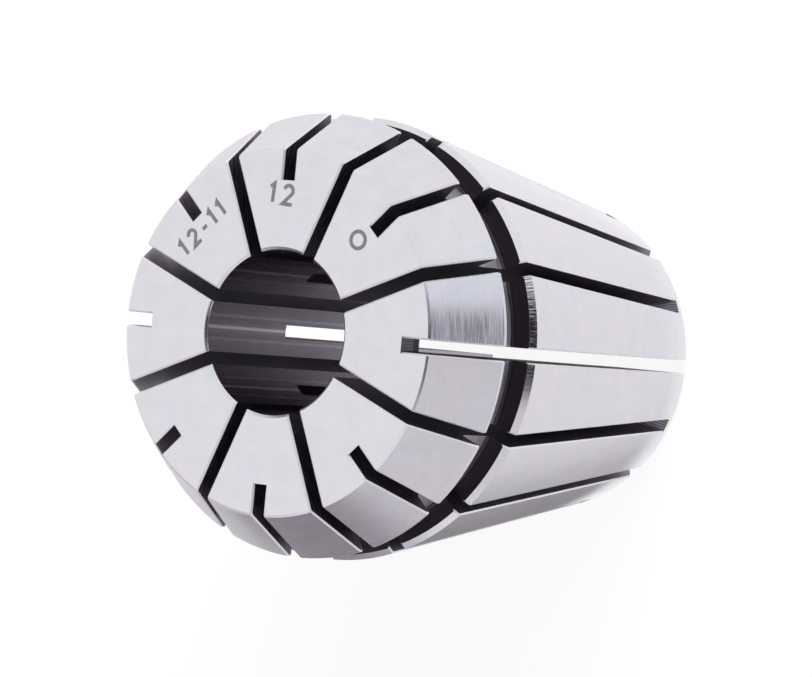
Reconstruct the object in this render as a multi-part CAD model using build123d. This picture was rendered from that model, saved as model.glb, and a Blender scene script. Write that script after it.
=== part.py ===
from build123d import *
import os
from math import cos, radians, sin, sqrt, tan

# Spring collet of size 32 for a 12 mm shank, turned, slotted and ground from one piece of spring steel.
# It stands on its narrow rear end: the origin is the centre of the rear face, +Z runs out of the front face.
# All lengths are in mm and all angles in degrees.

# Body
length = 40.0                   # rear face to front face
big_diameter = 33.0             # of the outer taper, where it meets the wall of the nut groove
taper_angle = 8.0               # each side of the axis, to fit the holder
rear_chamfer = 0.8
wall_chamfer = 0.4              # edge between the groove wall and the taper

# Nose, which the nut presses on, and the groove that the nut's ring sits in
nose_length = 5.5               # front face to groove
nose_step = 0.2                 # the nose is this much lower than the big end of the taper
nose_angle = 30.0               # each side of the axis
nose_land = 0.3                 # straight rim between nose cone and groove
groove_width = 3.6
groove_depth = 1.9              # from the big end of the taper
groove_corner_radius = 0.2

# Bore
bore_diameter = 12.0
mouth_chamfer = 0.2

# Slots: one set is sawn in from the front and the other from the rear, turn about
slots_each_way = 8
slot_width = 1.0
saw_diameter = 100.0
saw_depth = 3.0                 # the saw stops this far from the axis, inside the bore
rear_slot_land = 2.3            # length that the rear slots show on the front face, up to its rim
front_slot_margin = 1.4         # the front slots run out of the taper this far from the rear face

edge_break = 0.12               # stoned off the outer edges of the slots and off the rim of the front face
saw_clearance = 1.0             # how far the saw stands proud of the blank

taper_slope = tan(radians(taper_angle))
nose_slope = tan(radians(nose_angle))
big_radius = big_diameter / 2
bore_radius = bore_diameter / 2
nose_radius = big_radius - nose_step
groove_radius = big_radius - groove_depth
groove_front = length - nose_length
groove_wall = groove_front - groove_width
nose_shoulder = groove_front + nose_land
face_radius = nose_radius - (length - nose_shoulder) * nose_slope
slot_pitch = 360 / slots_each_way
outside = big_radius + saw_clearance


def taper_radius(z):
    """Radius of the outer taper at height z."""
    return big_radius - (groove_wall - z) * taper_slope


# Corners of the section, from the front backwards
nose_corners = [
    (face_radius - edge_break, length),
    (face_radius + edge_break * sin(radians(nose_angle)), length - edge_break * cos(radians(nose_angle))),
    (nose_radius, nose_shoulder),
    (nose_radius, groove_front),
]
taper_top = groove_wall - wall_chamfer
body_corners = [
    (taper_radius(taper_top) - wall_chamfer, groove_wall),
    (taper_radius(taper_top), taper_top),
    (taper_radius(rear_chamfer), rear_chamfer),
    (taper_radius(rear_chamfer) - rear_chamfer, 0),
]


def turned_blank():
    """The collet before it is slotted: half of its section, turned about the axis."""
    floor_front = groove_front - groove_corner_radius
    floor_rear = groove_wall + groove_corner_radius
    corner_edge = groove_radius + groove_corner_radius
    with BuildPart() as blank:
        with BuildSketch(Plane.XZ):
            with BuildLine():
                Polyline((bore_radius + mouth_chamfer, length), *nose_corners, (corner_edge, groove_front))
                RadiusArc((corner_edge, groove_front), (groove_radius, floor_front), -groove_corner_radius)
                Line((groove_radius, floor_front), (groove_radius, floor_rear))
                RadiusArc((groove_radius, floor_rear), (corner_edge, groove_wall), -groove_corner_radius)
                Polyline(
                    (corner_edge, groove_wall),
                    *body_corners,
                    (bore_radius + mouth_chamfer, 0),
                    (bore_radius, mouth_chamfer),
                    (bore_radius, length - mouth_chamfer),
                    (bore_radius + mouth_chamfer, length),
                )
            make_face()
        revolve(axis=Axis.Z)
    return blank.part


def saw_cut(rim_radius, rim_height, width):
    """The slab that one pass of the saw takes out, open downwards, running out at the given rim point."""
    saw_radius = saw_diameter / 2
    centre_radius = saw_depth + saw_radius
    centre_height = rim_height - sqrt(saw_radius ** 2 - (centre_radius - rim_radius) ** 2)
    top = centre_height + sqrt(saw_radius ** 2 - (centre_radius - outside) ** 2)
    with BuildPart() as cut:
        with BuildSketch(Plane.XZ):
            with BuildLine():
                RadiusArc((saw_depth, centre_height), (outside, top), saw_radius)
                Polyline(
                    (outside, top),
                    (outside, -saw_clearance),
                    (saw_depth, -saw_clearance),
                    (saw_depth, centre_height),
                )
            make_face()
        extrude(amount=width / 2, both=True)
    return cut.part


def rear_pass(width):
    """A cut from the rear end, which runs out in the front face."""
    return saw_cut(face_radius - rear_slot_land, length, width)


def front_pass(width):
    """A cut from the front end, which runs out in the taper near the rear face."""
    cut = saw_cut(taper_radius(front_slot_margin), length - front_slot_margin, width)
    return cut.mirror(Plane.XY).translate((0, 0, length))


def vee(start, end):
    """A vee-shaped bar along one straight stretch of the section, deep enough to break both edges of a slot."""
    depth = slot_width / 2 + edge_break
    past_end = 2 * edge_break
    stretch = Vector(end[0], 0, end[1]) - Vector(start[0], 0, start[1])
    first = Vector(start[0], 0, start[1]) - stretch.normalized() * past_end
    with BuildPart() as bar:
        with BuildSketch(Plane(origin=first, x_dir=(0, 1, 0), z_dir=stretch)):
            with BuildLine():
                Polyline(
                    (0, -depth),
                    (depth + edge_break, edge_break),
                    (-depth - edge_break, edge_break),
                    close=True,
                )
            make_face()
        extrude(amount=stretch.length + 2 * past_end)
    return bar.part


def edge_vees():
    """Vees along the nose and along the body."""
    nose = [(0, length), *nose_corners]
    body = [*body_corners, (0, 0)]
    return Part() + [vee(*ends) for outline in (nose, body) for ends in zip(outline, outline[1:])]


def slots(saw_pass, first_angle):
    """All the slots of one set, with their outer edges broken."""
    cut = saw_pass(slot_width) + (saw_pass(slot_width + 4 * edge_break) & edge_vees())
    return [cut.rotate(Axis.Z, first_angle + i * slot_pitch) for i in range(slots_each_way)]


collet = turned_blank() - slots(rear_pass, 0) - slots(front_pass, slot_pitch / 2)
os.makedirs("parts", exist_ok=True)
export_step(collet, "parts/collet.step")
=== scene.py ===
import math

import bpy
from mathutils import Matrix, Vector


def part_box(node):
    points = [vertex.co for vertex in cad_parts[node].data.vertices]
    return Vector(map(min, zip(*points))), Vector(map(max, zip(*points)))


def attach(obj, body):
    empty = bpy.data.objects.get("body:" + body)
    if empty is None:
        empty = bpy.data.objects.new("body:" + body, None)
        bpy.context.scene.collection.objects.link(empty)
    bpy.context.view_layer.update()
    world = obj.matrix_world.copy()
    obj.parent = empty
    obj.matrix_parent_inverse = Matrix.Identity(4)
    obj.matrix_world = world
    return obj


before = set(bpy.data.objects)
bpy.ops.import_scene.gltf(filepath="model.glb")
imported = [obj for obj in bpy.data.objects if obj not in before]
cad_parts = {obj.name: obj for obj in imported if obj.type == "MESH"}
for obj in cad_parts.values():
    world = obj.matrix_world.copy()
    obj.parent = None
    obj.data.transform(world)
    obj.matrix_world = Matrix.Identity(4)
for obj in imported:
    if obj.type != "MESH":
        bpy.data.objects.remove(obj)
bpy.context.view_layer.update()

bl_info = {
    "name": "Spring Collet Looks",
    "version": (1, 0, 0),
    "blender": (4, 5, 0),
    "location": "3D View > Sidebar > Collet",
    "description": "Finishes a slotted spring collet in ground steel, marks its size and sets its stage",
    "category": "Object",
}

MM = 0.001
FRONT_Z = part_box("collet")[1][2]        # height of the front face


def linear(hex_colour):
    """Linear red, green and blue of an sRGB colour written as six hex digits."""
    levels = [int(hex_colour[i:i + 2], 16) / 255 for i in (0, 2, 4)]
    return tuple(v / 12.92 if v <= 0.04045 else ((v + 0.055) / 1.055) ** 2.4 for v in levels)


def add_node(tree, kind, settings=(), sockets=()):
    """Add a node, set its properties, and fill its inputs with values or links from nodes or sockets."""
    node = tree.nodes.new(kind)
    for name, value in dict(settings).items():
        setattr(node, name, value)
    for key, value in dict(sockets).items():
        if isinstance(value, bpy.types.Node):
            value = value.outputs[0]
        if isinstance(value, bpy.types.NodeSocket):
            tree.links.new(value, node.inputs[key])
        else:
            node.inputs[key].default_value = value
    return node


def direction(azimuth, elevation):
    """Unit vector towards an azimuth, turned from +X to +Y, and an elevation above the floor."""
    return Vector((
        math.cos(elevation) * math.cos(azimuth),
        math.cos(elevation) * math.sin(azimuth),
        math.sin(elevation),
    ))


# ---------------------------------------------------------------- settings

class ColletSurfaceSettings(bpy.types.PropertyGroup):
    """Where each finished surface lies, its colour, and the size of its tool marks."""
    bore_radius: bpy.props.FloatProperty(
        name="Bore radius", description="Radius of the bore that holds the shank",
        default=6.0 * MM, min=0, unit="LENGTH", subtype="DISTANCE")
    mouth: bpy.props.FloatProperty(
        name="Mouth edge", description="Width of the broken edge at the mouth of the bore",
        default=0.2 * MM, min=0, unit="LENGTH", subtype="DISTANCE")
    groove_bottom: bpy.props.FloatProperty(
        name="Groove bottom", description="Height of the lower wall of the nut groove above the rear face",
        default=30.9 * MM, unit="LENGTH", subtype="DISTANCE")
    groove_top: bpy.props.FloatProperty(
        name="Groove top", description="Height of the upper wall of the nut groove above the rear face",
        default=34.5 * MM, unit="LENGTH", subtype="DISTANCE")
    taper_top: bpy.props.FloatProperty(
        name="Taper top", description="Height above the rear face where the outer taper ends",
        default=30.5 * MM, unit="LENGTH", subtype="DISTANCE")
    slots: bpy.props.IntProperty(
        name="Slots", description="Number of slots all round, from both ends", default=16, min=2)
    slot_width: bpy.props.FloatProperty(
        name="Slot width", description="Width of a slot between its walls",
        default=1.0 * MM, min=0, unit="LENGTH", subtype="DISTANCE")
    ridge_radius: bpy.props.FloatProperty(
        name="Ridge radius", description="Radius of the fine dark line on the lower wall of the nut groove",
        default=15.05 * MM, min=0, unit="LENGTH", subtype="DISTANCE")
    patch_azimuth: bpy.props.FloatProperty(
        name="Patch azimuth", description="Side of the nose cone that is brushed, turned from +X to +Y",
        default=math.radians(-79), unit="ROTATION", subtype="ANGLE")
    patch_full: bpy.props.FloatProperty(
        name="Patch middle", description="Angle each side of the patch's middle that is brushed fully",
        default=math.radians(4), min=0, unit="ROTATION", subtype="ANGLE")
    patch_edge: bpy.props.FloatProperty(
        name="Patch edge", description="Angle each side of the patch's middle where the brushing ends",
        default=math.radians(18), min=0, unit="ROTATION", subtype="ANGLE")
    ground_colour: bpy.props.FloatVectorProperty(
        name="Ground steel", description="Bare steel of the front face, nose cone and taper",
        default=linear("DEDDE2"), subtype="COLOR", min=0, max=1)
    brushed_colour: bpy.props.FloatVectorProperty(
        name="Brushed steel", description="Steel of the nose cone where it is brushed most",
        default=linear("D5D7E1"), subtype="COLOR", min=0, max=1)
    stoned_colour: bpy.props.FloatVectorProperty(
        name="Stoned steel", description="Freshly stoned steel of the slots' outer edges",
        default=linear("F4F3F6"), subtype="COLOR", min=0, max=1)
    groove_colour: bpy.props.FloatVectorProperty(
        name="Edge scale", description="Scale left in fine lines in the groove and at the bore's mouth",
        default=linear("58545C"), subtype="COLOR", min=0, max=1)
    bore_colour: bpy.props.FloatVectorProperty(
        name="Bore steel", description="Steel of the bore",
        default=linear("A29CA4"), subtype="COLOR", min=0, max=1)
    # Painted reflections: colour of the bright lines along the bore that stand in for light through the slots
    bore_reflection_colour: bpy.props.FloatVectorProperty(
        name="Bore line steel", description="Bright lines that the tool leaves along the bore",
        default=linear("E6E3E8"), subtype="COLOR", min=0, max=1)
    turned_colour: bpy.props.FloatVectorProperty(
        name="Turned steel", description="Steel of the floor of the nut groove",
        default=linear("B4B0B6"), subtype="COLOR", min=0, max=1)
    # Turned scale on the groove's lower wall, and painted shade on the slots' bottoms next to the bore
    scale_and_shade_colour: bpy.props.FloatVectorProperty(
        name="Turned scale", description="Dark scale on the groove's lower wall and the burrs by the bore",
        default=linear("4A454C"), subtype="COLOR", min=0, max=1)
    slot_colour: bpy.props.FloatVectorProperty(
        name="Hardening scale", description="Dark scale that hardening leaves on the sawn slot walls",
        default=linear("7F7883"), subtype="COLOR", min=0, max=1)
    line_spacing: bpy.props.FloatProperty(
        name="Grinding line spacing", description="Mean distance between two grinding lines",
        default=0.16 * MM, min=0, unit="LENGTH", subtype="DISTANCE")
    line_length: bpy.props.FloatProperty(
        name="Grinding line length", description="Mean length of one grinding line round the axis",
        default=3.0 * MM, min=0, unit="LENGTH", subtype="DISTANCE")
    blotch_size: bpy.props.FloatProperty(
        name="Blotch size", description="Size of the faint patches in the bare steel",
        default=1.3 * MM, min=0, unit="LENGTH", subtype="DISTANCE")
    mark_height: bpy.props.FloatProperty(
        name="Mark height", description="Height of a tool mark where its surface has a relief of 1",
        default=0.0015 * MM, min=0, unit="LENGTH", subtype="DISTANCE")


class ColletMarkSettings(bpy.types.PropertyGroup):
    """The marks on the front face."""
    size_text: bpy.props.StringProperty(
        name="Size", description="Shank diameter in millimetres", default="12")
    range_text: bpy.props.StringProperty(
        name="Range", description="Largest and smallest shank in millimetres", default="12-11")
    size_height: bpy.props.FloatProperty(
        name="Size height", description="Height of the figures of the size",
        default=1.62 * MM, min=0, unit="LENGTH", subtype="DISTANCE")
    size_place: bpy.props.FloatVectorProperty(
        name="Size place", description="Middle of the figures of the size on the front face",
        default=(9.98 * MM, 0.42 * MM), size=2, unit="LENGTH")
    size_turn: bpy.props.FloatProperty(
        name="Size turn", description="Turn of the figures of the size about the collet's axis",
        default=math.radians(-94), unit="ROTATION", subtype="ANGLE")
    range_height: bpy.props.FloatProperty(
        name="Range height", description="Height of the figures of the range",
        default=1.42 * MM, min=0, unit="LENGTH", subtype="DISTANCE")
    range_place: bpy.props.FloatVectorProperty(
        name="Range place", description="Middle of the figures of the range on the front face",
        default=(7.08 * MM, 7.2 * MM), size=2, unit="LENGTH")
    range_turn: bpy.props.FloatProperty(
        name="Range turn", description="Turn of the figures of the range about the collet's axis",
        default=math.radians(-43.3), unit="ROTATION", subtype="ANGLE")
    ring_diameter: bpy.props.FloatProperty(
        name="Ring diameter", description="Outside diameter of the plain ring",
        default=1.5 * MM, min=0, unit="LENGTH", subtype="DISTANCE")
    ring_place: bpy.props.FloatVectorProperty(
        name="Ring place", description="Middle of the plain ring on the front face",
        default=(7.12 * MM, -6.54 * MM), size=2, unit="LENGTH")
    line_width: bpy.props.FloatProperty(
        name="Line width", description="Width of the marked line",
        default=0.28 * MM, min=0, unit="LENGTH", subtype="DISTANCE")
    proud: bpy.props.FloatProperty(
        name="Proud", description="Height of the oxide above the face",
        default=0.012 * MM, min=0, unit="LENGTH", subtype="DISTANCE")
    sunk: bpy.props.FloatProperty(
        name="Sunk", description="Depth of the marked layer below the face",
        default=0.01 * MM, min=0, unit="LENGTH", subtype="DISTANCE")
    colour: bpy.props.FloatVectorProperty(
        name="Mark", description="Grey oxide that the laser leaves",
        default=linear("8E8C92"), subtype="COLOR", min=0, max=1)
    grain_size: bpy.props.FloatProperty(
        name="Grain size", description="Size of the uneven patches in the oxide",
        default=0.12 * MM, min=0, unit="LENGTH", subtype="DISTANCE")
    grain_height: bpy.props.FloatProperty(
        name="Grain height", description="Height of the oxide's grain",
        default=0.001 * MM, min=0, unit="LENGTH", subtype="DISTANCE")


class ColletStageSettings(bpy.types.PropertyGroup):
    """The floor, the light and the camera."""
    floor_radius: bpy.props.FloatProperty(
        name="Floor radius", description="Radius of the round floor",
        default=75 * MM, min=0, unit="LENGTH", subtype="DISTANCE")
    floor_gap: bpy.props.FloatProperty(
        name="Floor gap", description="Depth of the floor below the rear face, so they share no plane",
        default=0.01 * MM, min=0, unit="LENGTH", subtype="DISTANCE")
    floor_colour: bpy.props.FloatVectorProperty(
        name="Floor", description="Matt white board",
        default=linear("EBEBEB"), subtype="COLOR", min=0, max=1)
    window_radius: bpy.props.FloatProperty(
        name="Window radius", description="Radius of the lit disc that the metal mirrors in the floor",
        default=12.5 * MM, min=0, unit="LENGTH", subtype="DISTANCE")
    window_edge: bpy.props.FloatProperty(
        name="Window edge", description="Width of the soft edge of the lit disc",
        default=1.3 * MM, min=0, unit="LENGTH", subtype="DISTANCE")
    lamp_power: bpy.props.FloatProperty(
        name="Lamp power", description="Power of the soft lamp", default=2.6, min=0, unit="POWER")
    lamp_azimuth: bpy.props.FloatProperty(
        name="Lamp azimuth", description="Side that the lamp stands on",
        default=math.radians(-22), unit="ROTATION", subtype="ANGLE")
    lamp_elevation: bpy.props.FloatProperty(
        name="Lamp elevation", description="Height of the lamp above the floor",
        default=math.radians(45), unit="ROTATION", subtype="ANGLE")
    lamp_distance: bpy.props.FloatProperty(
        name="Lamp distance", description="Distance of the lamp from the collet",
        default=450 * MM, unit="LENGTH", subtype="DISTANCE")
    lamp_size: bpy.props.FloatProperty(
        name="Lamp size", description="Width of the lamp's square front",
        default=280 * MM, unit="LENGTH", subtype="DISTANCE")
    fill: bpy.props.FloatProperty(
        name="Fill", description="Level of the studio's light on matt surfaces", default=0.22, min=0)
    shade_tint: bpy.props.FloatVectorProperty(
        name="Shade tint", description="Colour of the studio's darkest parts, as the metal mirrors them",
        default=(1, 0.87, 0.99), subtype="COLOR", min=0, max=1)
    camera_azimuth: bpy.props.FloatProperty(
        name="Camera azimuth", description="Turn of the camera about the collet, from the -Y side",
        default=math.radians(0.7896), unit="ROTATION", subtype="ANGLE")
    camera_elevation: bpy.props.FloatProperty(
        name="Camera elevation", description="Height of the camera above the floor",
        default=math.radians(56.9328), unit="ROTATION", subtype="ANGLE")
    camera_roll: bpy.props.FloatProperty(
        name="Camera roll", description="Turn of the camera about its own line of sight",
        default=math.radians(-85.3773), unit="ROTATION", subtype="ANGLE")
    camera_distance: bpy.props.FloatProperty(
        name="Camera distance", description="Distance of the camera from the point that it looks at",
        default=288.8025 * MM, unit="LENGTH", subtype="DISTANCE")
    camera_aim: bpy.props.FloatVectorProperty(
        name="Camera aim", description="Point that the camera looks at",
        default=(0.31636 * MM, 0, 22.54636 * MM), unit="LENGTH", subtype="TRANSLATION")
    camera_lens: bpy.props.FloatProperty(
        name="Camera lens", description="Focal length in millimetres", default=168.669, min=1)
    camera_sensor: bpy.props.FloatProperty(
        name="Camera sensor", description="Width of the sensor in millimetres", default=36, min=1)


# ---------------------------------------------------------------- steel

# How far a surface faces sideways, from 0 to 1: all the way on a slot's wall, in part on its stoned edge
WALL_FACING = 0.9
EDGE_FACING = 0.7
EDGE_FACING_SPREAD = 0.19
BOTTOM_FACING = 0.2         # a slot's bottom faces the middle of the collet's height by more than this

# Lengths in mm between a surface's nominal place and its bounds
HEIGHT_SLACK = 0.01
GROOVE_SLACK = 0.005
SLOT_SLACK = 0.02
BORE_SLACK = 0.02
MOUTH_SLACK = 0.03
BORE_SHADE_REACH = 0.75           # the painted shade at a slot's bottom ends this far outside the bore
WALL_REACH = 0.21           # half the height that the scale of the groove's lower wall covers
EDGE_REACH = 0.195          # half the height of the stoned edge between groove and taper
LINE_HALF_WIDTH = 0.03      # of the fine dark lines in the groove and at the bore's mouth

# The bore's painted reflections, bright lines standing in for light through the rear slots, lie where the
# cosine of the azimuth times half the number of slots has these values. It is 1 in line with a rear slot
SLOT_REFLECTION_START = 0.982
SLOT_REFLECTION_FULL = 0.998
PAIR_REFLECTION_MIDDLE = 0.42
PAIR_REFLECTION_SPREAD = 0.2
PAIR_REFLECTION_STRENGTH = 0.3

JAW_SIDE = 0.91             # the dark line at the mouth is on the jaw that faces +Y by more than this
TICK_LEVEL = 0.45           # ticks of the noise above this break that line up

# Steps of the patterns for each mm, or for each radian round the axis
SAW_STEP_UP = 0.45
SAW_STEP_OUT = 0.12
SAW_SCALE = 1.57            # of the wave, which makes five marks to each step
STREAK_STEPS = (14.0, 1.0, 0.02)
TICK_STEPS = (120.0, 1.0, 1.6)
CLOUD_STEP = 0.3

# How far a saw mark bends from its line, on a slot's wall and at its bottom
WALL_BEND = 4.0
BOTTOM_BEND = 0.8

# Levels of a noise that count as its lowest and highest, for a soft change and for a sharper one
NOISE_LOW = 0.3
NOISE_HIGH = 0.7
SHARP_LOW = 0.35
SHARP_HIGH = 0.65

# How far the patterns change the steel either way, as shares of its colour or roughness
PATCH_SWING = 0.03
MARK_SWING = 0.07
GLOSS_SWING = 0.7
COOL_TINT = linear("FBFDFF")
WARM_TINT = linear("FFFDFD")


def ground_spring_steel(settings):
    """Hardened spring steel, ground bright outside and left dark where the saw went.

    Grinding leaves fine lines round the axis and a satin gloss. Stoning leaves the slots' outer edges pale
    and matt. Hardening leaves a dark, dull scale in the slots, which are never ground. The nut groove is only
    turned, so it is darker and duller than the ground steel, and the bore has a soft gloss with fine lines
    along it. Bright lines in the bore, in line with the rear slots, are painted reflections of the light
    through the slots, and the slots' bottoms next to the bore are darkened with painted shade. Grinding
    lines, saw marks and ticks are drawn coarser than such tools leave them, because finer ones would not
    show.
    """
    material = bpy.data.materials.new("ground_spring_steel")
    material.use_nodes = True
    tree = material.node_tree
    tree.nodes.clear()

    # Place, in mm, about the axis
    coordinates = add_node(tree, "ShaderNodeTexCoord")
    point = add_node(tree, "ShaderNodeVectorMath", {"operation": "SCALE"},
                     {0: coordinates.outputs["Object"], "Scale": 1 / MM})
    place = add_node(tree, "ShaderNodeSeparateXYZ", (), {0: point})
    x, y, z = place.outputs
    flat = add_node(tree, "ShaderNodeVectorMath", {"operation": "MULTIPLY"}, {0: point, 1: (1, 1, 0)})
    outward = add_node(tree, "ShaderNodeVectorMath", {"operation": "NORMALIZE"}, {0: flat})
    radius = add_node(tree, "ShaderNodeVectorMath", {"operation": "LENGTH"}, {0: flat}).outputs["Value"]
    angle = add_node(tree, "ShaderNodeMath", {"operation": "ARCTAN2"}, {0: y, 1: x})

    # Distance sideways from the nearest slot's middle
    half_pitch = math.pi / settings.slots
    from_slot = add_node(tree, "ShaderNodeMath", {"operation": "WRAP"},
                         {0: angle, 1: half_pitch, 2: -half_pitch})
    sine = add_node(tree, "ShaderNodeMath", {"operation": "SINE"}, {0: from_slot})
    sideways = add_node(tree, "ShaderNodeMath", {"operation": "MULTIPLY"}, {0: sine, 1: radius})
    off_middle = add_node(tree, "ShaderNodeMath", {"operation": "ABSOLUTE"}, {0: sideways})

    # Slot walls face sideways, stoned edges half sideways, and slot bottoms the middle of the collet's height
    facing = coordinates.outputs["Normal"]
    turned = add_node(tree, "ShaderNodeVectorMath", {"operation": "CROSS_PRODUCT"}, {0: outward, 1: facing})
    side_facing = add_node(tree, "ShaderNodeSeparateXYZ", (), {0: turned}).outputs[2]
    side_amount = add_node(tree, "ShaderNodeMath", {"operation": "ABSOLUTE"}, {0: side_facing})
    wall = add_node(tree, "ShaderNodeMath", {"operation": "GREATER_THAN"}, {0: side_amount, 1: WALL_FACING})
    up_facing = add_node(tree, "ShaderNodeSeparateXYZ", (), {0: facing}).outputs[2]
    stoned = add_node(tree, "ShaderNodeMath", {"operation": "COMPARE"},
                      {0: side_amount, 1: EDGE_FACING, 2: EDGE_FACING_SPREAD})
    above_middle = add_node(tree, "ShaderNodeMath", {"operation": "SUBTRACT"}, {0: z, 1: FRONT_Z / MM / 2})
    half = add_node(tree, "ShaderNodeMath", {"operation": "SIGN"}, {0: above_middle})
    away = add_node(tree, "ShaderNodeMath", {"operation": "MULTIPLY"}, {0: half, 1: up_facing})
    inward_facing = add_node(tree, "ShaderNodeMath", {"operation": "LESS_THAN"}, {0: away, 1: -BOTTOM_FACING})
    in_slot = add_node(tree, "ShaderNodeMath", {"operation": "LESS_THAN"},
                       {0: off_middle, 1: settings.slot_width / MM / 2 + SLOT_SLACK})
    bottom = add_node(tree, "ShaderNodeMath", {"operation": "MULTIPLY"}, {0: inward_facing, 1: in_slot})
    slot = add_node(tree, "ShaderNodeMath", {"operation": "MAXIMUM"}, {0: wall, 1: bottom})
    # Painted shade: a slot's bottom is darker next to the bore
    by_bore = add_node(tree, "ShaderNodeMath", {"operation": "LESS_THAN"},
                       {0: radius, 1: settings.bore_radius / MM + BORE_SHADE_REACH})
    bore_shade = add_node(tree, "ShaderNodeMath", {"operation": "MULTIPLY"}, {0: bottom, 1: by_bore})

    # The other surfaces lie between given heights or inside a given radius
    groove_middle = (settings.groove_bottom + settings.groove_top) / MM / 2
    groove_half = (settings.groove_top - settings.groove_bottom) / MM / 2
    groove = add_node(tree, "ShaderNodeMath", {"operation": "COMPARE"},
                      {0: z, 1: groove_middle, 2: groove_half + GROOVE_SLACK})
    face = add_node(tree, "ShaderNodeMath", {"operation": "GREATER_THAN"},
                    {0: z, 1: FRONT_Z / MM - HEIGHT_SLACK})
    taper = add_node(tree, "ShaderNodeMath", {"operation": "LESS_THAN"}, {0: z, 1: settings.taper_top / MM})
    groove_wall = add_node(tree, "ShaderNodeMath", {"operation": "COMPARE"},
                           {0: z, 1: settings.groove_bottom / MM, 2: WALL_REACH})
    bore = add_node(tree, "ShaderNodeMath", {"operation": "LESS_THAN"},
                    {0: radius, 1: settings.bore_radius / MM + BORE_SLACK})
    near_bore = add_node(tree, "ShaderNodeMath", {"operation": "LESS_THAN"},
                         {0: radius, 1: (settings.bore_radius + settings.mouth) / MM + MOUTH_SLACK})
    at_front = add_node(tree, "ShaderNodeMath", {"operation": "GREATER_THAN"},
                        {0: z, 1: (FRONT_Z - settings.mouth) / MM + HEIGHT_SLACK})
    mouth = add_node(tree, "ShaderNodeMath", {"operation": "MULTIPLY"}, {0: near_bore, 1: at_front})
    edge_middle = (settings.taper_top + settings.groove_bottom) / MM / 2
    edge = add_node(tree, "ShaderNodeMath", {"operation": "COMPARE"}, {0: z, 1: edge_middle, 2: EDGE_REACH})
    ridge = add_node(tree, "ShaderNodeMath", {"operation": "COMPARE"},
                     {0: radius, 1: settings.ridge_radius / MM, 2: LINE_HALF_WIDTH})
    wall_ridge = add_node(tree, "ShaderNodeMath", {"operation": "MULTIPLY"}, {0: groove_wall, 1: ridge})

    # Painted reflections of the light through the rear slots: bright lines along the bore in line with them,
    # with a fainter pair about 8 degrees beside
    half_turns = add_node(tree, "ShaderNodeMath", {"operation": "MULTIPLY"},
                          {0: angle, 1: settings.slots / 2})
    nearness = add_node(tree, "ShaderNodeMath", {"operation": "COSINE"}, {0: half_turns})
    slot_reflection = add_node(tree, "ShaderNodeMapRange", {"interpolation_type": "SMOOTHSTEP"},
                         {0: nearness, 1: SLOT_REFLECTION_START, 2: SLOT_REFLECTION_FULL, 3: 0.0, 4: 1.0})
    bore_reflection = add_node(tree, "ShaderNodeMath", {"operation": "MULTIPLY"}, {0: bore, 1: slot_reflection})
    pair = add_node(tree, "ShaderNodeMath", {"operation": "SUBTRACT"}, {0: nearness, 1: PAIR_REFLECTION_MIDDLE})
    off_pair = add_node(tree, "ShaderNodeMath", {"operation": "ABSOLUTE"}, {0: pair})
    pair_reflection = add_node(tree, "ShaderNodeMapRange", {"interpolation_type": "SMOOTHSTEP"},
                         {0: off_pair, 1: 0.0, 2: PAIR_REFLECTION_SPREAD, 3: PAIR_REFLECTION_STRENGTH, 4: 0.0})
    bore_pair_reflection = add_node(tree, "ShaderNodeMath", {"operation": "MULTIPLY"}, {0: bore, 1: pair_reflection})

    # One side of the nose cone is brushed, and the edge under the groove there has the most ticks
    patch = tuple(direction(settings.patch_azimuth, 0))
    towards_patch = add_node(tree, "ShaderNodeVectorMath", {"operation": "DOT_PRODUCT"},
                             {0: outward, 1: patch}).outputs["Value"]
    brushed = add_node(tree, "ShaderNodeMapRange", {"interpolation_type": "SMOOTHSTEP"},
                       {0: towards_patch, 1: math.cos(settings.patch_edge), 2: math.cos(settings.patch_full)})
    edge_patch = add_node(tree, "ShaderNodeMath", {"operation": "MULTIPLY"}, {0: edge, 1: brushed})

    # Grinding lines run round the axis: short steps along the section, long ones round it. A grinding wheel
    # leaves them a few hundredths of a millimetre apart, and here they are coarser so that they show
    along = add_node(tree, "ShaderNodeMath", {"operation": "SUBTRACT"}, {0: z, 1: radius})
    round_axis = add_node(tree, "ShaderNodeVectorMath", {"operation": "SCALE"},
                          {0: flat, "Scale": MM / settings.line_length})
    line_steps = add_node(tree, "ShaderNodeMath", {"operation": "MULTIPLY"},
                          {0: along, 1: MM / settings.line_spacing})
    line_up = add_node(tree, "ShaderNodeCombineXYZ", (), {2: line_steps})
    line_place = add_node(tree, "ShaderNodeVectorMath", {"operation": "ADD"}, {0: round_axis, 1: line_up})
    lines = add_node(tree, "ShaderNodeTexNoise", (),
                     {"Vector": line_place, "Scale": 1.0, "Detail": 2.0, "Roughness": 0.6})

    # Saw marks slant across a slot's walls and run along its bottom. A saw leaves them about a tenth of a
    # millimetre apart, and on the walls they are drawn about four times as coarse, since finer ones are lost
    wall_height = add_node(tree, "ShaderNodeMath", {"operation": "MULTIPLY"}, {0: z, 1: SAW_STEP_UP})
    wall_steps = add_node(tree, "ShaderNodeMath", {"operation": "MULTIPLY_ADD"},
                          {0: radius, 1: SAW_STEP_OUT, 2: wall_height})
    saw_steps = add_node(tree, "ShaderNodeMix", {"data_type": "FLOAT"},
                         {0: bottom, 2: wall_steps, 3: sideways})
    saw_vector = add_node(tree, "ShaderNodeCombineXYZ", (), {0: saw_steps, 1: from_slot, 2: z})
    saw_bend = add_node(tree, "ShaderNodeMix", {"data_type": "FLOAT"},
                        {0: bottom, 2: WALL_BEND, 3: BOTTOM_BEND})
    saw_marks = add_node(tree, "ShaderNodeTexWave", (),
                         {"Vector": saw_vector, "Scale": SAW_SCALE, "Distortion": saw_bend, "Detail": 2.0,
                          "Detail Scale": 1.5})

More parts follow.
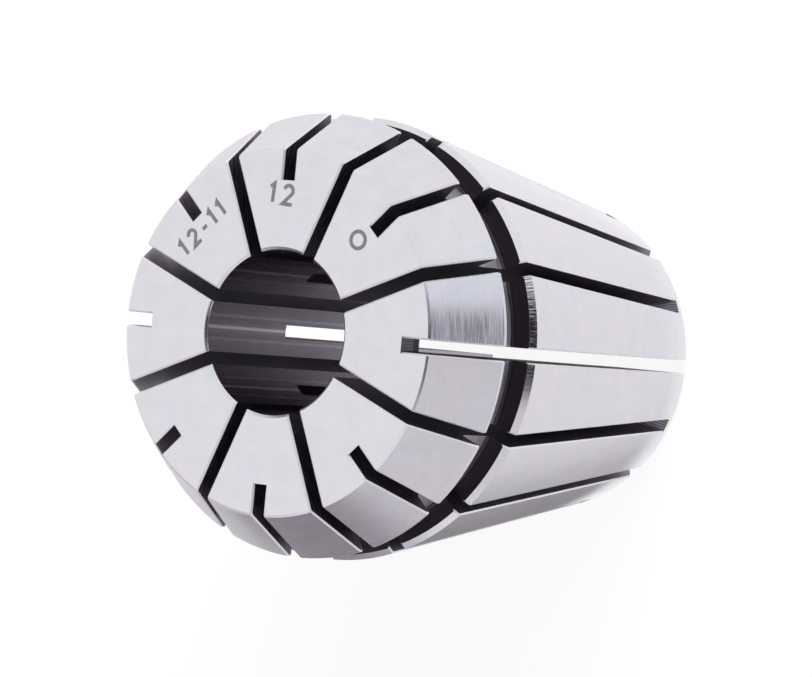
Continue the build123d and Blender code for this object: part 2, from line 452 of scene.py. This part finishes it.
    # Shanks that slide in and out leave long, narrow streaks in the bore. A stone leaves short ticks on an
    # edge, which are drawn coarser than they are so that they show
    unrolled = add_node(tree, "ShaderNodeCombineXYZ", (), {0: angle, 2: z})
    streak_stretch = add_node(tree, "ShaderNodeVectorMath", {"operation": "MULTIPLY"},
                              {0: unrolled, 1: STREAK_STEPS})
    streaks = add_node(tree, "ShaderNodeTexNoise", (),
                       {"Vector": streak_stretch, "Scale": 1.0, "Detail": 2.0, "Roughness": 0.5})
    tick_stretch = add_node(tree, "ShaderNodeVectorMath", {"operation": "MULTIPLY"},
                            {0: unrolled, 1: TICK_STEPS})
    ticks = add_node(tree, "ShaderNodeTexNoise", (),
                     {"Vector": tick_stretch, "Scale": 1.0, "Detail": 1.0, "Roughness": 0.5})

    # A fine dark line is left at the mouth of the bore, on one jaw, broken up by the ticks
    ring = add_node(tree, "ShaderNodeMath", {"operation": "COMPARE"},
                    {0: radius, 1: (settings.bore_radius + settings.mouth / 2) / MM, 2: LINE_HALF_WIDTH})
    broken = add_node(tree, "ShaderNodeMath", {"operation": "GREATER_THAN"}, {0: ticks, 1: TICK_LEVEL})
    ring_parts = add_node(tree, "ShaderNodeMath", {"operation": "MULTIPLY"}, {0: ring, 1: broken})
    towards_jaw = add_node(tree, "ShaderNodeSeparateXYZ", (), {0: outward}).outputs[1]
    on_jaw = add_node(tree, "ShaderNodeMath", {"operation": "GREATER_THAN"}, {0: towards_jaw, 1: JAW_SIDE})
    jaw_mouth = add_node(tree, "ShaderNodeMath", {"operation": "MULTIPLY"}, {0: mouth, 1: on_jaw})
    mouth_ring = add_node(tree, "ShaderNodeMath", {"operation": "MULTIPLY"}, {0: jaw_mouth, 1: ring_parts})

    marks = lines
    for mask, pattern in ((bore, streaks), (edge, ticks), (mouth, ticks), (slot, saw_marks)):
        marks = add_node(tree, "ShaderNodeMix", {"data_type": "FLOAT"}, {0: mask, 2: marks, 3: pattern})

    # Faint patches and fine grain in the bare steel
    blotch = add_node(tree, "ShaderNodeTexNoise", (),
                      {"Vector": point, "Scale": MM / settings.blotch_size, "Detail": 4.0, "Roughness": 0.6})

    # Where, colour, roughness, then how much the marks change the relief, the colour and the roughness. A
    # later row lies over the ones before it
    surfaces = (
        (brushed, settings.brushed_colour, 0.24, 4.0, 0.9, 0.6),
        (face, settings.ground_colour, 0.30, 0.15, 0.1, 0.1),
        (taper, settings.ground_colour, 0.18, 0.4, 0.2, 0.1),
        (groove, settings.turned_colour, 0.68, 4.0, 4.5, 0.2),
        (groove_wall, settings.scale_and_shade_colour, 0.35, 2.0, 1.0, 0.2),
        (wall_ridge, settings.groove_colour, 0.40, 0.0, 0.0, 0.0),
        (edge, settings.ground_colour, 0.20, 2.0, 0.4, 0.3),
        (edge_patch, settings.ground_colour, 0.20, 10.0, 4.0, 0.6),
        (stoned, settings.stoned_colour, 0.55, 0.0, 0.0, 0.0),
        (bore, settings.bore_colour, 0.27, 0.0, 0.15, 0.0),
        (bore_pair_reflection, settings.bore_reflection_colour, 0.30, 0.0, 0.3, 0.0),
        (bore_reflection, settings.bore_reflection_colour, 0.30, 0.0, 0.3, 0.0),
        (mouth, settings.ground_colour, 0.30, 1.0, 0.8, 0.2),
        (mouth_ring, settings.groove_colour, 0.30, 0.0, 0.0, 0.0),
        (slot, settings.slot_colour, 0.42, 3.0, 3.0, 0.2),
        (bottom, settings.slot_colour, 0.52, 0.5, 8.0, 0.2),
        (bore_shade, settings.scale_and_shade_colour, 0.60, 0.0, 1.0, 0.0),
    )
    colour = add_node(tree, "ShaderNodeMix", {"data_type": "RGBA"},
                      {6: (*settings.ground_colour, 1), 7: (*settings.ground_colour, 1)}).outputs[2]
    levels = (0.24, 2.0, 0.3, 0.2)      # where no mask lies, as on the nose cone
    for mask, surface_colour, *surface_levels in surfaces:
        colour = add_node(tree, "ShaderNodeMix", {"data_type": "RGBA"},
                          {0: mask, 6: colour, 7: (*surface_colour, 1)}).outputs[2]
        levels = [add_node(tree, "ShaderNodeMix", {"data_type": "FLOAT"},
                           {0: mask, 2: level, 3: surface_level})
                  for level, surface_level in zip(levels, surface_levels)]
    roughness, depth, contrast, gloss_swing = levels

    # Large clouds turn the steel a little cooler or warmer, patches and marks a little lighter or darker
    cloud = add_node(tree, "ShaderNodeTexNoise", (),
                     {"Vector": point, "Scale": CLOUD_STEP, "Detail": 1.0, "Roughness": 0.5})
    warmth = add_node(tree, "ShaderNodeMapRange", (), {0: cloud, 1: SHARP_LOW, 2: SHARP_HIGH})
    tint = add_node(tree, "ShaderNodeMix", {"data_type": "RGBA"},
                    {0: warmth, 6: (*COOL_TINT, 1), 7: (*WARM_TINT, 1)}).outputs[2]
    tinted = add_node(tree, "ShaderNodeVectorMath", {"operation": "MULTIPLY"}, {0: colour, 1: tint})
    patchy = add_node(tree, "ShaderNodeMapRange", (),
                      {0: blotch, 1: NOISE_LOW, 2: NOISE_HIGH, 3: 1 - PATCH_SWING, 4: 1 + PATCH_SWING})
    swing = add_node(tree, "ShaderNodeMapRange", (),
                     {0: marks, 1: NOISE_LOW, 2: NOISE_HIGH, 3: -MARK_SWING, 4: MARK_SWING})
    streaky = add_node(tree, "ShaderNodeMath", {"operation": "MULTIPLY_ADD"},
                       {0: swing, 1: contrast, 2: 1.0})
    shade = add_node(tree, "ShaderNodeMath", {"operation": "MULTIPLY"}, {0: patchy, 1: streaky})
    seen = add_node(tree, "ShaderNodeVectorMath", {"operation": "SCALE"}, {0: tinted, "Scale": shade})
    uneven = add_node(tree, "ShaderNodeMapRange", (),
                      {0: marks, 1: SHARP_LOW, 2: SHARP_HIGH, 3: -GLOSS_SWING, 4: GLOSS_SWING})
    gloss = add_node(tree, "ShaderNodeMath", {"operation": "MULTIPLY_ADD"},
                     {0: uneven, 1: gloss_swing, 2: 1.0})
    rough = add_node(tree, "ShaderNodeMath", {"operation": "MULTIPLY"}, {0: roughness, 1: gloss})
    relief = add_node(tree, "ShaderNodeMath", {"operation": "MULTIPLY"}, {0: marks, 1: depth})
    bump = add_node(tree, "ShaderNodeBump", (),
                    {"Strength": 1.0, "Distance": settings.mark_height, "Height": relief})
    shader = add_node(tree, "ShaderNodeBsdfPrincipled", (),
                      {"Base Color": seen, "Metallic": 1.0, "Roughness": rough, "Normal": bump})
    add_node(tree, "ShaderNodeOutputMaterial", (), {"Surface": shader})
    return material


class COLLET_OT_finish_steel(bpy.types.Operator):
    """Give the collet its steel, ground outside and dark in the slots"""
    bl_idname = "collet.finish_steel"
    bl_label = "Finish Steel"

    def execute(self, context):
        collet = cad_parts["collet"]
        collet.material_slots[0].material = ground_spring_steel(context.scene.collet_surfaces)
        return {"FINISHED"}


# ---------------------------------------------------------------- marks

OXIDE_SWING = 0.2           # share by which the grain makes the oxide lighter or darker
RING_SIDES = 48


def laser_marked_steel(settings):
    """Steel darkened by a marking laser: a thin, matt, slightly uneven grey oxide."""
    material = bpy.data.materials.new("laser_marked_steel")
    material.use_nodes = True
    tree = material.node_tree
    tree.nodes.clear()
    coordinates = add_node(tree, "ShaderNodeTexCoord")
    grain = add_node(tree, "ShaderNodeTexNoise", (),
                     {"Vector": coordinates.outputs["Object"], "Scale": 1 / settings.grain_size,
                      "Detail": 3.0})
    level = add_node(tree, "ShaderNodeMapRange", (),
                     {0: grain, 1: NOISE_LOW, 2: NOISE_HIGH, 3: 1 - OXIDE_SWING, 4: 1 + OXIDE_SWING})
    seen = add_node(tree, "ShaderNodeVectorMath", {"operation": "SCALE"},
                    {0: tuple(settings.colour), "Scale": level})
    bump = add_node(tree, "ShaderNodeBump", (), {"Distance": settings.grain_height, "Height": grain})
    shader = add_node(tree, "ShaderNodeBsdfPrincipled", (),
                      {"Base Color": seen, "Metallic": 1.0, "Roughness": 0.55, "Normal": bump})
    add_node(tree, "ShaderNodeOutputMaterial", (), {"Surface": shader})
    return material


def mark_material(settings):
    """The marks' material, made once for all of them."""
    return bpy.data.materials.get("laser_marked_steel") or laser_marked_steel(settings)


def finish_mark(piece, name, settings, place, turn):
    """Turn a flat mark about +Z, put it on the front face, and give it its material, body and slot."""
    piece.name = name
    piece.data.name = name
    piece.location = (place[0], place[1], FRONT_Z)
    piece.rotation_euler = (0, 0, turn)
    bpy.ops.object.select_all(action="DESELECT")
    piece.select_set(True)
    bpy.context.view_layer.objects.active = piece
    bpy.ops.object.transform_apply(location=True, rotation=True, scale=True)
    piece.data.materials.clear()
    piece.data.materials.append(mark_material(settings))
    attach(piece, "root")


def arc(middle, across, up, start, end, steps=10):
    """Points on part of an ellipse, from one angle in degrees to another."""
    angles = [math.radians(start + (end - start) * i / steps) for i in range(steps + 1)]
    return [(middle[0] + across * math.cos(a), middle[1] + up * math.sin(a)) for a in angles]


# Width of each figure and its strokes, for figures 1 high with the width of their line
FIGURES = {
    "0": (0.62, [arc((0.31, 0.5), 0.24, 0.42, 90, 450, 20)]),
    "1": (0.36, [[(0.0, 0.76), (0.2, 0.92), (0.2, 0.08)]]),
    "2": (0.62, [arc((0.31, 0.68), 0.24, 0.24, 165, -25) + [(0.07, 0.08), (0.58, 0.08)]]),
    "3": (0.62, [arc((0.3, 0.71), 0.22, 0.21, 160, -90) + arc((0.3, 0.29), 0.25, 0.21, 90, -160)]),
    "4": (0.66, [[(0.48, 0.08), (0.48, 0.92), (0.05, 0.3), (0.62, 0.3)]]),
    "5": (0.62, [[(0.54, 0.92), (0.14, 0.92), (0.09, 0.52)] + arc((0.31, 0.34), 0.24, 0.26, 130, -150)]),
    "6": (0.62, [arc((0.42, 0.36), 0.35, 0.56, 80, 180) + arc((0.31, 0.33), 0.24, 0.25, 180, 520, 16)]),
    "7": (0.6, [[(0.06, 0.92), (0.56, 0.92), (0.22, 0.08)]]),
    "8": (0.62, [arc((0.31, 0.72), 0.21, 0.2, -90, 270, 16) + arc((0.31, 0.3), 0.24, 0.22, 90, -270, 16)]),
    "9": (0.62, [arc((0.2, 0.64), 0.35, 0.56, -100, 0) + arc((0.31, 0.67), 0.24, 0.25, 0, 340, 16)]),
    "-": (0.4, [[(0.04, 0.42), (0.36, 0.42)]]),
}
FIGURE_GAP = 0.33           # between two figures, as a share of their height
MERGE_DISTANCE = 0.001 * MM


def draw_stroke(points, settings):
    """One stroke: a point extruded along its path, raised into a ribbon and given the line's width."""
    bpy.ops.object.select_all(action="DESELECT")
    bpy.ops.mesh.primitive_plane_add(size=MM)
    stroke = bpy.context.object
    bpy.ops.object.mode_set(mode="EDIT")
    bpy.ops.mesh.select_all(action="SELECT")
    bpy.ops.mesh.merge(type="CENTER")
    bpy.ops.transform.translate(value=(*points[0], -settings.sunk))
    for last, point in zip(points, points[1:]):
        step = (point[0] - last[0], point[1] - last[1], 0)
        bpy.ops.mesh.extrude_region_move(TRANSFORM_OT_translate={"value": step})
    bpy.ops.mesh.select_all(action="SELECT")
    bpy.ops.mesh.remove_doubles(threshold=MERGE_DISTANCE)
    bpy.ops.mesh.select_all(action="SELECT")
    layer = settings.proud + settings.sunk
    bpy.ops.mesh.extrude_region_move(TRANSFORM_OT_translate={"value": (0, 0, layer)})
    bpy.ops.object.mode_set(mode="OBJECT")
    width = stroke.modifiers.new("width", "SOLIDIFY")
    width.thickness = settings.line_width
    width.offset = 0
    width.use_even_offset = True
    bpy.ops.object.modifier_apply(modifier=width.name)
    return stroke


def etch_figures(text, name, height, place, turn, settings):
    """Mark figures of a given height, centred at a place on the front face."""
    unknown = set(text) - set(FIGURES)
    if unknown or not text:
        raise ValueError("only figures and a dash can be marked")
    total = sum(FIGURES[figure][0] for figure in text) + FIGURE_GAP * (len(text) - 1)
    at = -total / 2
    strokes = []
    for figure in text:
        width, paths = FIGURES[figure]
        for path in paths:
            strokes.append(draw_stroke([((at + x) * height, (y - 0.5) * height) for x, y in path], settings))
        at += width + FIGURE_GAP
    bpy.ops.object.select_all(action="DESELECT")
    for stroke in strokes:
        stroke.select_set(True)
    bpy.context.view_layer.objects.active = strokes[0]
    bpy.ops.object.join()
    bpy.ops.object.transform_apply(location=True, rotation=True, scale=True)
    bpy.ops.object.mode_set(mode="EDIT")
    bpy.ops.mesh.select_all(action="SELECT")
    bpy.ops.mesh.normals_make_consistent(inside=False)
    bpy.ops.object.mode_set(mode="OBJECT")
    finish_mark(strokes[0], name, settings, place, turn)


class COLLET_OT_etch_figures(bpy.types.Operator):
    """Mark the size and the range in figures on the front face"""
    bl_idname = "collet.etch_figures"
    bl_label = "Etch Figures"

    def execute(self, context):
        settings = context.scene.collet_marks
        etch_figures(settings.size_text, "size_figures", settings.size_height,
                     settings.size_place, settings.size_turn, settings)
        etch_figures(settings.range_text, "range_figures", settings.range_height,
                     settings.range_place, settings.range_turn, settings)
        return {"FINISHED"}


class COLLET_OT_etch_ring(bpy.types.Operator):
    """Mark a plain ring on the front face"""
    bl_idname = "collet.etch_ring"
    bl_label = "Etch Ring"

    def execute(self, context):
        settings = context.scene.collet_marks
        bpy.ops.object.select_all(action="DESELECT")
        bpy.ops.mesh.primitive_circle_add(vertices=RING_SIDES, radius=settings.ring_diameter / 2,
                                          fill_type="NGON")
        ring = context.object
        bpy.ops.object.mode_set(mode="EDIT")
        bpy.ops.mesh.select_all(action="SELECT")
        bpy.ops.mesh.inset(thickness=settings.line_width)
        bpy.ops.mesh.delete(type="FACE")
        bpy.ops.mesh.select_all(action="SELECT")
        bpy.ops.transform.translate(value=(0, 0, settings.proud))
        bpy.ops.object.mode_set(mode="OBJECT")
        wall = ring.modifiers.new("layer", "SOLIDIFY")
        wall.thickness = settings.proud + settings.sunk
        wall.offset = -1
        bpy.ops.object.modifier_apply(modifier=wall.name)
        finish_mark(ring, "ring_mark", settings, settings.ring_place, 0)
        return {"FINISHED"}


# ---------------------------------------------------------------- stage

FLOOR_SIDES = 128

# Parts of the studio that the metal mirrors: azimuth, elevation, half-angles of the full part and of its
# outer edge, all in degrees, and level, where the studio's own is 1
STUDIO_PARTS = (
    (75, -45, 15, 45, 1.05),
    (-128, 0, 26, 44, 0.77),
    (152, -21, 10, 55, 0.3),
    (-82, 3, 0, 13.5, 0.3),
    (-95, 58, 12, 25, 0.15),
    (-85, 33, 15, 24, 0.02),
)


def studio_world(settings):
    """A studio that is plain white to the camera, and one low, slightly tinted level to matt surfaces.

    Mirror rays see one lighter and five darker parts in it, the darker the more tinted. They are placed for
    the main camera, so that the facets of the bright metal stand apart there.
    """
    world = bpy.data.worlds.new("studio")
    world.use_nodes = True
    tree = world.node_tree
    tree.nodes.clear()
    towards = add_node(tree, "ShaderNodeTexCoord").outputs["Generated"]
    level = 1.0
    for azimuth, elevation, full, outer, part_level in STUDIO_PARTS:
        middle = direction(math.radians(azimuth), math.radians(elevation))
        nearness = add_node(tree, "ShaderNodeVectorMath", {"operation": "DOT_PRODUCT"},
                            {0: towards, 1: tuple(middle)}).outputs["Value"]
        amount = add_node(tree, "ShaderNodeMapRange", {"interpolation_type": "SMOOTHSTEP"},
                          {0: nearness, 1: math.cos(math.radians(outer)), 2: math.cos(math.radians(full))})
        level = add_node(tree, "ShaderNodeMix", {"data_type": "FLOAT"},
                         {0: amount, 2: level, 3: part_level})
    rays = add_node(tree, "ShaderNodeLightPath")
    matt = add_node(tree, "ShaderNodeMix", {"data_type": "FLOAT"},
                    {0: rays.outputs["Is Diffuse Ray"], 2: level, 3: settings.fill})
    direct = add_node(tree, "ShaderNodeMath", {"operation": "MAXIMUM"},
                      {0: rays.outputs["Is Camera Ray"], 1: rays.outputs["Is Transmission Ray"]})
    strength = add_node(tree, "ShaderNodeMix", {"data_type": "FLOAT"}, {0: direct, 2: matt, 3: 1.0})
    tone = add_node(tree, "ShaderNodeMix", {"data_type": "RGBA"},
                    {0: strength, 6: (*settings.shade_tint, 1), 7: (1, 1, 1, 1)}).outputs[2]
    background = add_node(tree, "ShaderNodeBackground", (), {"Color": tone, "Strength": strength})
    add_node(tree, "ShaderNodeOutputWorld", (), {"Surface": background})
    return world


CAMERA_GLOW = 0.88          # share of the board that glows to the camera, and the rest keeps the shadow
MIRRORED_BOARD = 0.08       # share of the board beyond the lit disc that glows to mirror rays
BOARD_GLOW = 1.05           # level of the glow, just over white


def white_board(settings):
    """Matt white board, white to the camera apart from the collet's shadow.

    Mirror rays see a painted pool of light under the collet, a disc that glows though no lamp lights it, and
    an almost unlit board beyond it.
    """
    material = bpy.data.materials.new("white_board")
    material.use_nodes = True
    tree = material.node_tree
    tree.nodes.clear()
    rays = add_node(tree, "ShaderNodeLightPath")
    direct = add_node(tree, "ShaderNodeMath", {"operation": "MAXIMUM"},
                      {0: rays.outputs["Is Camera Ray"], 1: rays.outputs["Is Transmission Ray"]})
    white = add_node(tree, "ShaderNodeMath", {"operation": "MULTIPLY"}, {0: direct, 1: CAMERA_GLOW})
    coordinates = add_node(tree, "ShaderNodeTexCoord")
    from_middle = add_node(tree, "ShaderNodeVectorMath", {"operation": "LENGTH"},
                           {0: coordinates.outputs["Object"]}).outputs["Value"]
    window_end = settings.window_radius + settings.window_edge
    lit_disc = add_node(tree, "ShaderNodeMapRange", {"interpolation_type": "SMOOTHSTEP"},
                        {0: from_middle, 1: settings.window_radius, 2: window_end,
                         3: 1.0, 4: MIRRORED_BOARD})
    mirrored = add_node(tree, "ShaderNodeMath", {"operation": "MULTIPLY"},
                        {0: rays.outputs["Is Glossy Ray"], 1: lit_disc})
    amount = add_node(tree, "ShaderNodeMath", {"operation": "MAXIMUM"}, {0: white, 1: mirrored})
    matt = add_node(tree, "ShaderNodeBsdfDiffuse", (), {"Color": (*settings.floor_colour, 1)})
    glow = add_node(tree, "ShaderNodeEmission", (), {"Color": (1, 1, 1, 1), "Strength": BOARD_GLOW})
    mixed = add_node(tree, "ShaderNodeMixShader", (), {0: amount, 1: matt, 2: glow})
    add_node(tree, "ShaderNodeOutputMaterial", (), {"Surface": mixed})
    return material


class COLLET_OT_set_stage(bpy.types.Operator):
    """Add the floor, the studio light and the camera"""
    bl_idname = "collet.set_stage"
    bl_label = "Set Stage"

    def execute(self, context):
        settings = context.scene.collet_stage
        bpy.ops.object.select_all(action="DESELECT")
        bpy.ops.mesh.primitive_circle_add(vertices=FLOOR_SIDES, radius=settings.floor_radius,
                                          fill_type="NGON", location=(0, 0, -settings.floor_gap))
        floor = context.object
        floor.name = "floor"
        floor.data.materials.append(white_board(settings))

        context.scene.world = studio_world(settings)
        context.scene.view_settings.view_transform = "Standard"

        lamp_place = direction(settings.lamp_azimuth, settings.lamp_elevation) * settings.lamp_distance
        lamp_turn = lamp_place.to_track_quat("Z", "Y").to_euler()
        bpy.ops.object.light_add(type="AREA", location=lamp_place, rotation=lamp_turn)
        lamp = context.object
        lamp.name = "soft_lamp"
        lamp.data.size = settings.lamp_size
        lamp.data.energy = settings.lamp_power
        lamp.visible_glossy = False

        turn = (Matrix.Rotation(settings.camera_azimuth, 3, "Z")
                @ Matrix.Rotation(math.pi / 2 - settings.camera_elevation, 3, "X")
                @ Matrix.Rotation(settings.camera_roll, 3, "Z"))
        place = Vector(settings.camera_aim) + turn @ Vector((0, 0, settings.camera_distance))
        bpy.ops.object.camera_add(location=place, rotation=turn.to_euler())
        camera = context.object
        camera.data.sensor_width = settings.camera_sensor
        camera.data.lens = settings.camera_lens
        context.scene.camera = camera
        return {"FINISHED"}


OPERATORS = (COLLET_OT_finish_steel, COLLET_OT_etch_figures, COLLET_OT_etch_ring, COLLET_OT_set_stage)


class COLLET_PT_looks(bpy.types.Panel):
    """Steps that finish the collet"""
    bl_label = "Spring Collet"
    bl_idname = "COLLET_PT_looks"
    bl_space_type = "VIEW_3D"
    bl_region_type = "UI"
    bl_category = "Collet"

    def draw(self, context):
        for operator in OPERATORS:
            self.layout.operator(operator.bl_idname)


CLASSES = (ColletSurfaceSettings, ColletMarkSettings, ColletStageSettings, *OPERATORS, COLLET_PT_looks)


def register():
    """Add the settings, the operators and the panel."""
    for cls in CLASSES:
        bpy.utils.register_class(cls)
    bpy.types.Scene.collet_surfaces = bpy.props.PointerProperty(type=ColletSurfaceSettings)
    bpy.types.Scene.collet_marks = bpy.props.PointerProperty(type=ColletMarkSettings)
    bpy.types.Scene.collet_stage = bpy.props.PointerProperty(type=ColletStageSettings)


def unregister():
    """Take the settings, the operators and the panel away."""
    del bpy.types.Scene.collet_surfaces
    del bpy.types.Scene.collet_marks
    del bpy.types.Scene.collet_stage
    for cls in reversed(CLASSES):
        bpy.utils.unregister_class(cls)


def main():
    """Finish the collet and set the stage."""
    register()
    bpy.ops.collet.finish_steel()
    bpy.ops.collet.etch_figures()
    bpy.ops.collet.etch_ring()
    bpy.ops.collet.set_stage()


if __name__ == "__main__":
    main()
